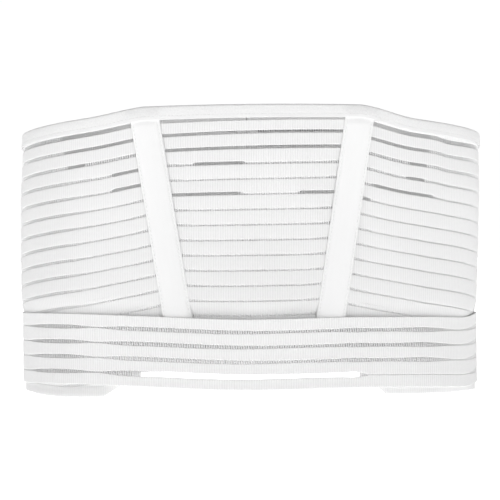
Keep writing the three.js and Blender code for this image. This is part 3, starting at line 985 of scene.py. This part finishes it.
def wing_panel(name, wing):
    """A wing: its tapes, cut off along the lower border, its solid edges, its wefts and its border."""
    side = wing["side"]
    upper, lower = row_lines(FIRST_SLOT_WING, WING_SLOTS)
    parts = []
    for row, (top, bottom) in enumerate(zip(upper, lower)):
        sagging = smoothstep(row, *SAG_ROWS["wing"])
        for run in kept_runs(top, wing):
            away = rib_stations(run[0], run[-1], STATIONS_PER_RIB["wing"])
            foot = lower_edge(away, wing) + CUT_ABOVE
            gape = gaping(row, away, wing["gapes"])
            sagged = sag(sagging, away - seam(bottom), pulled(away, wing), gape)
            low = np.maximum(wing_row(away, bottom + sagged, wing), foot)
            high = np.maximum(wing_row(away, top, wing), foot + CUT_LEAST)
            hang = wave(side * away, (low + high) / 2)
            parts.append(tape(side * away, low, high, hang, FACE, rib_depth=0.0, sagged=sagged))

    def height(arcs, belows):
        return wing_row(np.abs(arcs), belows, wing)

    belows = np.arange(upper[0], BACK_HEIGHT, TUCK)
    at_seam = seam(belows) + SEWN_GAP / 2 + SIDE_BORDER / 2
    at_front = np.full_like(belows, HALF_LOOP - SIDE_BORDER / 2)
    # Each solid edge is kept only where it stands above the arch beneath it. Here too,
    # the area counts only the stretches beside the slots
    for edge, floor in ((at_seam, ARCH_HEIGHT), (at_front, FRONT_ARCH_HEIGHT)):
        centre = side * edge
        keep = height(centre, belows) > floor + TUCK
        parts.append(side_border(belows[keep], centre[keep], height, SIDE_BORDER / 2, EDGE_FACE))
    panel = mesh_piece(f"{name}_tapes", parts, ELASTIC)
    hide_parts(name)

    yarns = []
    for row, (top, bottom) in enumerate(zip(lower[:-1], upper[1:])):
        first = math.ceil((float(seam(top)) + SIDE_BORDER) / RIB_PITCH)
        away = np.arange(first, (WING_END - SIDE_BORDER) / RIB_PITCH) * RIB_PITCH
        away = away[wing_row(away, bottom, wing) > lower_edge(away, wing) + YARNS_ABOVE]
        low = wing_row(away, bottom + WEFT_TUCK, wing)
        high = wing_row(away, top - WEFT_TUCK, wing)
        gape = gaping(row, away, wing["gapes"])
        past = smoothstep(away - wing["filled_from"], 0, FILLED_WITHIN)
        radius = weft_radius(row + FLANK_ROWS * past, WING_FILLED_ROWS, wing["full_weft"], gape)
        yarns.append(wefts(side * away, low, high, wave(side * away, (low + high) / 2), radius))
    threads = mesh_piece(f"{name}_wefts", yarns, WEFT_YARN)

    border, sewing = lower_border(name, wing)


def lower_border(name, wing):
    """A wing's doubled lower border: a folded strip with a round fold below and a stitched edge above,
    carried along the lower edge."""
    side = wing["side"]
    start = float(seam(BACK_HEIGHT - BORDER_HEIGHT)) + SEWN_GAP / 2
    corners = [wing["arch_end"], wing["foot"], FRONT_FOOT, PATCH_START]
    away = np.unique(np.concatenate([np.arange(start, WING_END, BORDER_STEP), corners, [WING_END]]))
    profile = np.array(BORDER_SECTION + [(-out, up) for out, up in BORDER_SECTION[:0:-1]])
    z = lower_edge(away, wing)[:, None] + profile[:, 1]
    depth = np.broadcast_to(profile[:, 0] * BORDER_WALL / 2, z.shape)
    arcs = side * np.broadcast_to(away[:, None], z.shape)
    strip = one(on_belt(arcs, z, depth), np.stack([arcs, z], -1))
    border = mesh_piece(f"{name}_border", [strip], ELASTIC)
    sewn = lower_edge(away, wing) + BORDER_STITCH
    faces = (BORDER_STITCH_FACE, -BORDER_STITCH_FACE)
    rows = [stitch_line(side * away, sewn, np.full_like(away, face)) for face in faces]
    return border, mesh_piece(f"{name}_border_stitches", rows, SEWING_THREAD)


def top_hem():
    """The binding: a folded tape with a rolled lower edge, carried along the top edge. It swells out where
    it passes over the stays, and puckers a little at its stitches."""
    inside = [(-1.0, HEM_WALL), (1.0, HEM_WALL)]
    profile = np.array(HEM_SECTION + [(-out, down) for out, down in HEM_SECTION[::-1]] + inside)
    arcs = np.linspace(-WING_END, WING_END, HEM_STATIONS)
    from_stay = np.abs(np.abs(arcs) - STAY_TOP_ARC)
    casing_edge = CASING_WIDTH / 2
    swell = HEM_OVER_STAY * (1 - smoothstep(from_stay, casing_edge, casing_edge + HEM_SWELL_END))
    outer_side = np.where(profile[:, 0] > 0, smoothstep(profile[:, 1], 0, HEM_SWELL_FULL), 0)
    pucker = HEM_PUCKER * np.cos(2 * math.pi * arcs / STITCH_PITCH)
    from_sewing = (profile[:, 1] - HEM_STITCH) / HEM_PUCKER_WIDTH
    near_sewing = np.exp(-(from_sewing**2)) * np.sign(profile[:, 0])
    reaches = (HEM_REACH["left"], HEM_REACH["back"], HEM_REACH["right"])
    longer = np.interp(arcs, (-STAY_TOP_ARC, 0.0, STAY_TOP_ARC), reaches) / HEM_HEIGHT
    z = top_edge(arcs)[:, None] - longer[:, None] * profile[:, 1]
    depth = profile[:, 0] + swell[:, None] * outer_side + pucker[:, None] * near_sewing
    broad = np.broadcast_to(arcs[:, None], z.shape)
    down = np.broadcast_to(profile[:, 1], z.shape)
    folded = one(on_belt(broad, z, depth), np.stack([broad, down], -1))
    hem = mesh_piece("top_hem_binding", [folded], BINDING)
    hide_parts("top_hem")
    sewn = top_edge(arcs) - longer * HEM_STITCH
    faces = (HEM_STITCH_FACE + swell, np.full_like(arcs, -HEM_STITCH_FACE))
    rows = [stitch_line(arcs, sewn, face) for face in faces]
    sewing = mesh_piece("top_hem_stitches", rows, SEWING_THREAD)


def stay_casing(name, side):
    """A padded casing: crowned across its width, with a sewn furrow near each edge that puckers at its
    stitches, carried down the seam. Its top end is thin and tucked under the binding."""
    belows = np.linspace(CASING_TUCK, BACK_HEIGHT, CASING_RINGS)
    across = CASING_ACROSS
    sewn = 1 - CASING_STITCH / (CASING_WIDTH / 2)
    furrow = CASING_FURROW * np.exp(-(((np.abs(across) - sewn) / CASING_FURROW_WIDTH) ** 2))
    edge = np.sqrt(np.clip(1 - np.abs(across) ** CASING_EDGE_POWER, 0, 1))
    crown = (CASING_EDGE + (CASING_CROWN - CASING_EDGE) * (1 - across**2)) * edge
    pucker = 1 + CASING_PUCKER * np.cos(2 * math.pi * belows / STITCH_PITCH)[:, None]
    uneven = CASING_UNEVEN * np.sin(belows / CASING_UNEVEN_LENGTH + side)[:, None] * (1 - across**2)
    filled_out = smoothstep(belows, HEM_HEIGHT, HEM_HEIGHT + CASING_FILLS_OUT)
    tucked = CASING_TUCKED + (1 - CASING_TUCKED) * filled_out
    thickness = tucked[:, None] * np.maximum(crown - furrow * pucker + uneven, CASING_LEAST)
    offset = np.concatenate([across, CASING_UNDER]) * CASING_WIDTH / 2
    inner = FACE + SEWN_GAP
    underside = np.zeros((len(belows), len(CASING_UNDER)))
    depth = inner + np.concatenate([thickness, underside], 1)
    arcs = side * seam(belows)[:, None] + offset
    z = top_edge(arcs) - belows[:, None]
    places = np.stack([np.broadcast_to(offset, z.shape), np.broadcast_to(belows[:, None], z.shape)], -1)
    casing = mesh_piece(f"{name}_pad", [one(on_stay(arcs, z, depth), places)], CASING)
    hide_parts(name)
    rows = []
    sewn_crown = CASING_EDGE + (CASING_CROWN - CASING_EDGE) * (1 - sewn**2)
    sewn_depth = inner + sewn_crown - CASING_STITCH_SINK
    low = belows > HEM_HEIGHT + CASING_STITCH_BELOW
    for edge_side in (-1, 1):
        arc = side * seam(belows[low]) + edge_side * sewn * CASING_WIDTH / 2
        depths = inner + (sewn_depth - inner) * tucked[low]
        rows.append(stitch_line(arc, top_edge(arc) - belows[low], depths, on_stay))
    mesh_piece(f"{name}_stitches", rows, SEWING_THREAD)


def lower_band():
    """The band: five looped tapes with strong ribs whose slots open and close a little round the loop, the
    wefts across the slots, and the doubled joint in front."""
    ribs = round(2 * HALF_LOOP / RIB_PITCH)
    per_rib = STATIONS_PER_RIB["band"]
    arcs = -HALF_LOOP + 2 * HALF_LOOP * np.arange(per_rib * ribs) / (per_rib * ribs)
    pitch = BAND_TAPE + BAND_SLOT
    centre = band_stand_off(arcs) + BAND_WALL / 2
    lows = []
    highs = []
    for row in range(BAND_ROWS):
        middle = band_edge(arcs) + row * pitch + BAND_TAPE / 2
        spare_below = BAND_SLOT - band_slot(arcs, row == 1) if row > 0 else 0.0
        spare_above = BAND_SLOT - band_slot(arcs, row == 0) if row < BAND_ROWS - 1 else 0.0
        lows.append(middle - BAND_TAPE / 2 - spare_below / 2)
        highs.append(middle + BAND_TAPE / 2 + spare_above / 2)
    in_step = arcs * (ribs * RIB_PITCH) / (2 * HALF_LOOP)
    parts = [looped_tape(arcs, in_step, low, high, centre) for low, high in zip(lows, highs)]
    band = mesh_piece("lower_band_tapes", parts, BAND_ELASTIC)
    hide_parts("lower_band")
    yarns = []
    bare = (arcs > -WINGS["left"]["arch_end"]) & (arcs < WINGS["right"]["arch_end"])
    for row in range(BAND_ROWS - 1):
        on_rib = np.arange(len(arcs)) % per_rib == 0
        crossed = np.flatnonzero(on_rib & ~(bare & (row == 0)))
        ends = (highs[row][crossed] - WEFT_TUCK, lows[row + 1][crossed] + WEFT_TUCK)
        radius = BAND_WEFTS[row] * (1 - LEFT_THINNER * (1 - smoothstep(arcs[crossed], *LEFT_ARC)))
        yarns.append(wefts(arcs[crossed], *ends, centre[crossed], radius, on_band))
    threads = mesh_piece("lower_band_wefts", yarns, WEFT_YARN)
    joint, sewing = band_joint()


def looped_tape(arcs, in_step, low, high, out):
    """A tape all round the loop, with a whole number of ribs. in_step is the arc length scaled to them."""
    rib = BAND_RIB * np.cos(2 * math.pi * in_step / RIB_PITCH)
    z = ((low + high) / 2)[:, None] + ((high - low) / 2)[:, None] * TAPE_UP
    depth = out[:, None] + (BAND_WALL / 2 + rib)[:, None] * TAPE_OUT
    places = np.stack([np.broadcast_to(in_step[:, None], z.shape), z], -1)
    return one(on_band(arcs[:, None], z, depth), places, looped=True)


def slab(arcs, bottom, top, inner, thickness, rows, rim, place=on_belt):
    """A flat patch with a rounded rim: its section is a flat inner face and an outer face whose thickness
    rises from the rim on a quarter ellipse, carried along the loop."""
    share = 0.5 - 0.5 * np.cos(np.linspace(0, math.pi, rows))
    z = bottom[:, None] + (top - bottom)[:, None] * share
    length = arcs - arcs[0]
    from_end = np.minimum(length, length[-1] - length)[:, None]
    from_rim = np.minimum(np.minimum(z - bottom[:, None], top[:, None] - z), from_end)
    rise = np.sqrt(1 - (1 - np.clip(from_rim / rim, 0, 1)) ** 2)
    outer = inner[:, None] + thickness * (RIM_SHARE + (1 - RIM_SHARE) * rise)
    back_z = z[:, [-1, rows // 2, 0]]
    back = np.broadcast_to(inner[:, None], back_z.shape)
    all_z = np.concatenate([z, back_z], 1)
    broad = np.broadcast_to(arcs[:, None], all_z.shape)
    points = place(broad, all_z, np.concatenate([outer, back], 1))
    return one(points, np.stack([broad, all_z], -1))


def sewn_frame(arcs, bottom, top, out, inset, place=on_belt):
    """Four rows of stitches inside the rim of a patch."""
    keep = (arcs > arcs[0] + inset) & (arcs < arcs[-1] - inset)
    rows = [
        stitch_line(arcs[keep], bottom[keep] + inset, out[keep], place),
        stitch_line(arcs[keep], top[keep] - inset, out[keep], place),
    ]
    for at in (arcs[0] + inset, arcs[-1] - inset):
        low = np.interp(at, arcs, bottom) + inset
        high = np.interp(at, arcs, top) - inset
        z = np.linspace(low, high, FRAME_POINTS)
        face = np.full_like(z, np.interp(at, arcs, out))
        rows.append(stitch_line(np.full_like(z, at), z, face, place))
    return rows


def band_joint():
    """The doubled joint of the band in front, with a sewn frame."""
    arcs = np.linspace(HALF_LOOP - BAND_JOINT, HALF_LOOP + BAND_JOINT, JOINT_STATIONS)
    wrapped = np.where(arcs > HALF_LOOP, arcs - 2 * HALF_LOOP, arcs)
    bottom = band_edge(wrapped)
    top = bottom + BAND_HEIGHT
    inner = band_stand_off(wrapped)
    overlap = BAND_WALL + JOINT_THICKER
    joint = slab(arcs, bottom, top, inner, overlap, JOINT_ROWS, JOINT_RIM, on_band)
    piece = mesh_piece("lower_band_joint", [joint], BAND_ELASTIC)
    rows = sewn_frame(arcs, bottom, top, inner + overlap, JOINT_STITCH, on_band)
    return piece, mesh_piece("lower_band_joint_stitches", rows, SEWING_THREAD)


def front_closure():
    """The closure: a patch of loop pile over the two wing ends, with a sewn frame."""
    arcs = np.linspace(HALF_LOOP - PATCH_HALF_WIDTH, HALF_LOOP + PATCH_HALF_WIDTH, PATCH_STATIONS)
    wrapped = np.where(arcs > HALF_LOOP, arcs - 2 * HALF_LOOP, arcs)
    join = SIDE_BORDER + FRONT_GAP / 2
    clear = np.abs(arcs - HALF_LOOP) >= join
    top = np.interp(arcs, arcs[clear], top_edge(wrapped[clear])) - HEM_HEIGHT - SEWN_GAP
    bottom = np.full_like(arcs, PATCH_BOTTOM)
    inner = np.full_like(arcs, FACE + SEWN_GAP)
    patch = slab(arcs, bottom, top, inner, PATCH_WALL, PATCH_ROWS, PATCH_RIM)
    piece = mesh_piece("front_closure_patch", [patch], CLOSURE)
    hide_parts("front_closure")
    rows = sewn_frame(arcs, bottom, top, inner + PATCH_WALL, PATCH_STITCH)
    sewing = mesh_piece("front_closure_stitches", rows, SEWING_THREAD)


# Camera, light and floor, in metres

FRAME_PIXELS = 500
BELT_PIXELS = 455
SENSOR = 36.0
EYE_DISTANCE = 4.5
EYE_HEIGHT = 0.108
EYE_TURN = math.radians(-1.3)
EYE_ROLL = math.radians(0.6)
EYE_LEFT = 0.00075
CLIP_END = 200.0

# The sky is white at the horizon and dim overhead: its shades, and the rise over which they change
HORIZON = 1.02
OVERHEAD = 0.08
SKY_CHANGE = (0.05, 0.12)
# The floor: its finish, its shades and glow near the belt and far off, and how far out they change
FLOOR_ROUGHNESS = 0.9
FLOOR_MIRRORING = 0.1
FLOOR_NEAR = 0.88
FLOOR_FAR = 0.9
FLOOR_GLOW = 1.3
# Painted shadow: near the belt the floor is a little darker and glows less, which also throws less light up
# onto the belt
GLOW_NEAR = 0.6
GLOW_FAR = 1.0
FLOOR_SHADOW_REACH = (0.1, 0.6)
FLOOR_RADIUS = 60.0
FLOOR_CORNERS = 96
FLOOR_HEIGHT = -0.0003
# Softboxes: name, place, width and height, watts. All face the middle of the belt.
BELT_MIDDLE = (0.0, 0.0, 0.11)
SOFTBOXES = [
    ("key", (2.0, -2.4, 0.27), (1.4, 0.5), 18.5),
    ("fill", (-2.5, -1.7, 0.27), (1.4, 0.5), 17.0),
    ("top", (0.0, 0.0, 2.4), (1.2, 1.2), 8.0),
]


def camera():
    """A level camera a long way behind the belt, with a long lens."""
    wide = (cad_box[1] - cad_box[0]).x
    data = bpy.data.cameras.new("camera")
    data.sensor_width = SENSOR
    data.lens = SENSOR * BELT_PIXELS / FRAME_PIXELS * EYE_DISTANCE / wide
    data.clip_end = CLIP_END
    eye = bpy.data.objects.new("camera", data)
    eye.location = (
        math.sin(EYE_TURN) * EYE_DISTANCE - EYE_LEFT,
        -math.cos(EYE_TURN) * EYE_DISTANCE,
        EYE_HEIGHT,
    )
    eye.rotation_euler = (math.pi / 2, EYE_ROLL, EYE_TURN)
    bpy.context.scene.collection.objects.link(eye)
    bpy.context.scene.camera = eye


def softbox(name, place, size, power):
    """A rectangular area light that faces the middle of the belt."""
    data = bpy.data.lights.new(name, "AREA")
    data.shape = "RECTANGLE"
    data.size = size[0]
    data.size_y = size[1]
    data.energy = power
    lamp = bpy.data.objects.new(name, data)
    lamp.location = place
    towards = np.array(BELT_MIDDLE) - np.array(place)
    flat = math.hypot(towards[0], towards[1])
    lamp.rotation_euler = (math.atan2(flat, -towards[2]), 0, math.atan2(-towards[0], towards[1]))
    bpy.context.scene.collection.objects.link(lamp)


def sky(tree):
    """An even sky: white behind the belt at the horizon, and dim overhead, to keep the inside dark."""
    ahead = node(tree, "ShaderNodeTexCoord").outputs["Generated"]
    up = node(tree, "ShaderNodeSeparateXYZ", {"Vector": ahead}).outputs["Z"]
    ramp = {"Value": up, "From Min": SKY_CHANGE[0], "From Max": SKY_CHANGE[1]}
    high = node(tree, "ShaderNodeMapRange", ramp, interpolation_type="SMOOTHSTEP").outputs[0]
    return blend(tree, high, grey(HORIZON), grey(OVERHEAD))


def floor_finish():
    """Plain pale floor with a glow of its own, so that it joins the white horizon; darker and dimmer near
    the belt, a painted shadow.
    """
    material = bpy.data.materials.new("pale_floor")
    material.use_nodes = True
    tree = material.node_tree
    shader = tree.nodes["Principled BSDF"]
    shader.inputs["Roughness"].default_value = FLOOR_ROUGHNESS
    shader.inputs["Specular IOR Level"].default_value = FLOOR_MIRRORING
    shader.inputs["Emission Strength"].default_value = FLOOR_GLOW
    places = node(tree, "ShaderNodeTexCoord").outputs["Object"]
    away = node(tree, "ShaderNodeVectorMath", {"Vector": places}, operation="LENGTH").outputs["Value"]
    ramp = {"Value": away, "From Min": FLOOR_SHADOW_REACH[0], "From Max": FLOOR_SHADOW_REACH[1]}
    far = node(tree, "ShaderNodeMapRange", ramp, interpolation_type="SMOOTHSTEP").outputs[0]
    # Painted shadow round the belt: the floor's colour and glow are weaker near it
    tree.links.new(blend(tree, far, grey(FLOOR_NEAR), grey(FLOOR_FAR)), shader.inputs["Base Color"])
    tree.links.new(blend(tree, far, grey(GLOW_NEAR), grey(GLOW_FAR)), shader.inputs["Emission Color"])
    return material


def studio():
    """A pale floor under an even sky, a low key right of the camera, a low fill on its left, and a weak
    light from above."""
    world = bpy.data.worlds.new("studio")
    world.use_nodes = True
    tree = world.node_tree
    tree.links.new(sky(tree), tree.nodes["Background"].inputs["Color"])
    bpy.context.scene.world = world
    bpy.context.scene.view_settings.view_transform = "Standard"
    for lamp in SOFTBOXES:
        softbox(*lamp)
    turn = np.linspace(0, 2 * math.pi, FLOOR_CORNERS, endpoint=False)
    level = np.full_like(turn, FLOOR_HEIGHT)
    rim = np.stack([FLOOR_RADIUS * np.cos(turn), FLOOR_RADIUS * np.sin(turn), level], -1)
    mesh = bpy.data.meshes.new("floor")
    mesh.from_pydata(rim.tolist(), [], [list(range(len(rim)))])
    mesh.materials.append(floor_finish())
    floor = bpy.data.objects.new("floor", mesh)
    bpy.context.scene.collection.objects.link(floor)


camera()
studio()
back_panel()
wing_panel("left_wing", WINGS["left"])
wing_panel("right_wing", WINGS["right"])
top_hem()
stay_casing("left_stay_casing", -1)
stay_casing("right_stay_casing", 1)
lower_band()
front_closure()
